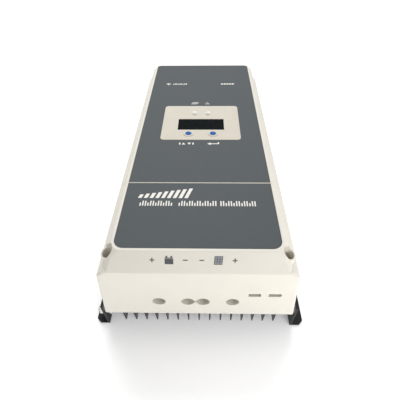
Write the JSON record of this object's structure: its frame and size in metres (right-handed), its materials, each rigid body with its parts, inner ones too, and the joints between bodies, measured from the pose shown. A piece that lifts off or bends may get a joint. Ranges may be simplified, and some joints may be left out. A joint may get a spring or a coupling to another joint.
{
  "type": "charge controller",
  "caption": "Wall-mounted solar charge controller: finned heatsink on two rails, moulded casing with display and buttons, lift-off cover over rising-clamp terminals.",
  "frame": {"origin": "centre of the mounting plane under the rails' feet, below the middle of the object", "axes": "+X to the right seen with the display in front, +Y along the casing from the cable entries to the top end, +Z out of the wall through the display"},
  "size_m": [0.242, 0.394, 0.141],
  "materials": {
    "anodised_aluminium": "extruded, dark anodised, satin",
    "black_steel": "black powder coat, fine texture",
    "black_screws": "black oxide",
    "bright_steel": "zinc plated",
    "ivory_housing": "warm ivory, fine moulded texture",
    "ivory_bezel": "warm ivory, fine moulded texture",
    "slate_panel": "printed sheet, fine matte grain",
    "black_rubber": "matte",
    "grey_rubber": "matte",
    "window_glass": "clear, smoked",
    "dark_display": "dark display glass, off",
    "white_plastic": "moulded",
    "black_plastic": "moulded",
    "green_plastic": "moulded",
    "blue_button": "semi-gloss domed cap",
    "clear_pipe": "clear moulded",
    "circuit_board": "green solder mask",
    "grey_ribbon": "flat cable",
    "nickel_brass": "nickel plated",
    "powder_core": "coated powder core",
    "copper": "bare copper",
    "capacitor_sleeve": "shrink sleeve"
  },
  "bodies": {
    "base": {"heatsink": "anodised_aluminium", "mounting_rail_left": "black_steel", "mounting_rail_right": "black_steel", "rail_screws": "black_screws", "ground_bolt": "bright_steel", "ground_washers": "bright_steel", "ground_nut": "bright_steel", "upper_housing": "ivory_housing", "upper_panel_sheet": "slate_panel", "housing_gasket": "black_rubber", "housing_screws": "bright_steel", "display_bezel": "ivory_bezel", "display_window": "window_glass", "lcd_glass": "dark_display", "lcd_backlight": "white_plastic", "tact_switches": "black_plastic", "light_pipes": "clear_pipe", "light_rings": "white_plastic", "display_board": "circuit_board", "display_board_screws": "bright_steel", "display_ribbon": "grey_ribbon", "main_board": "circuit_board", "main_board_standoffs": "nickel_brass", "main_board_screws": "bright_steel", "inductor_cores": "powder_core", "inductor_windings": "copper", "capacitors": "capacitor_sleeve", "thermal_pads": "grey_rubber", "power_transistors": "black_plastic", "transistor_clamps": "bright_steel", "clamp_screws": "bright_steel", "terminal_block": "black_plastic", "busbars": "copper", "signal_board": "circuit_board", "signal_board_posts": "nickel_brass", "signal_board_screws": "bright_steel", "communication_jack": "black_plastic", "sensor_connector": "green_plastic", "signal_ribbon": "grey_ribbon", "cover_posts": "nickel_brass"},
    "terminal_cover": {"terminal_cover": "ivory_housing", "lower_panel_sheet": "slate_panel"},
    "cover_screw_left": {"cover_screw_left": "bright_steel"},
    "cover_screw_right": {"cover_screw_right": "bright_steel"},
    "button_select": {"button_select": "blue_button"},
    "button_enter": {"button_enter": "blue_button"},
    "terminal_screw_1": {"terminal_screw_1": "bright_steel"},
    "terminal_clamp_1": {"terminal_clamp_1": "nickel_brass"},
    "terminal_screw_2": {"terminal_screw_2": "bright_steel"},
    "terminal_clamp_2": {"terminal_clamp_2": "nickel_brass"},
    "terminal_screw_3": {"terminal_screw_3": "bright_steel"},
    "terminal_clamp_3": {"terminal_clamp_3": "nickel_brass"},
    "terminal_screw_4": {"terminal_screw_4": "bright_steel"},
    "terminal_clamp_4": {"terminal_clamp_4": "nickel_brass"}
  },
  "joints": [
    {"name": "cover_lift", "type": "slide", "parent": "base", "child": "terminal_cover", "axis": [0, 0, 1], "range_m": [0, 0.11]},
    {"name": "cover_screw_left_turn", "type": "hinge", "parent": "terminal_cover", "child": "cover_screw_left", "pos_m": [-0.08175, -0.1821, 0.095], "axis": [0, 0, 1], "continuous": true},
    {"name": "cover_screw_right_turn", "type": "hinge", "parent": "terminal_cover", "child": "cover_screw_right", "pos_m": [0.08175, -0.1821, 0.095], "axis": [0, 0, 1], "continuous": true},
    {"name": "button_select_press", "type": "slide", "parent": "base", "child": "button_select", "axis": [0, 0, -1], "range_m": [0, 0.0008], "stiffness_N_per_m": 600, "springref_m": -0.0005},
    {"name": "button_enter_press", "type": "slide", "parent": "base", "child": "button_enter", "axis": [0, 0, -1], "range_m": [0, 0.0008], "stiffness_N_per_m": 600, "springref_m": -0.0005},
    {"name": "terminal_screw_1_turn", "type": "hinge", "parent": "base", "child": "terminal_screw_1", "pos_m": [-0.0398, -0.146, 0.0924], "axis": [0, 0, -1], "range_deg": [0, 2160]},
    {"name": "terminal_clamp_1_rise", "type": "slide", "parent": "base", "child": "terminal_clamp_1", "axis": [0, 0, 1], "range_m": [0, 0.0075]},
    {"name": "terminal_screw_2_turn", "type": "hinge", "parent": "base", "child": "terminal_screw_2", "pos_m": [-0.0107, -0.146, 0.0924], "axis": [0, 0, -1], "range_deg": [0, 2160]},
    {"name": "terminal_clamp_2_rise", "type": "slide", "parent": "base", "child": "terminal_clamp_2", "axis": [0, 0, 1], "range_m": [0, 0.0075]},
    {"name": "terminal_screw_3_turn", "type": "hinge", "parent": "base", "child": "terminal_screw_3", "pos_m": [0.0047, -0.146, 0.0924], "axis": [0, 0, -1], "range_deg": [0, 2160]},
    {"name": "terminal_clamp_3_rise", "type": "slide", "parent": "base", "child": "terminal_clamp_3", "axis": [0, 0, 1], "range_m": [0, 0.0075]},
    {"name": "terminal_screw_4_turn", "type": "hinge", "parent": "base", "child": "terminal_screw_4", "pos_m": [0.0344, -0.146, 0.0924], "axis": [0, 0, -1], "range_deg": [0, 2160]},
    {"name": "terminal_clamp_4_rise", "type": "slide", "parent": "base", "child": "terminal_clamp_4", "axis": [0, 0, 1], "range_m": [0, 0.0075]}
  ],
  "couplings": [
    {"joint": "terminal_screw_1_turn", "follows": "terminal_clamp_1_rise", "rad_per_m": 5026.5},
    {"joint": "terminal_screw_2_turn", "follows": "terminal_clamp_2_rise", "rad_per_m": 5026.5},
    {"joint": "terminal_screw_3_turn", "follows": "terminal_clamp_3_rise", "rad_per_m": 5026.5},
    {"joint": "terminal_screw_4_turn", "follows": "terminal_clamp_4_rise", "rad_per_m": 5026.5}
  ]
}
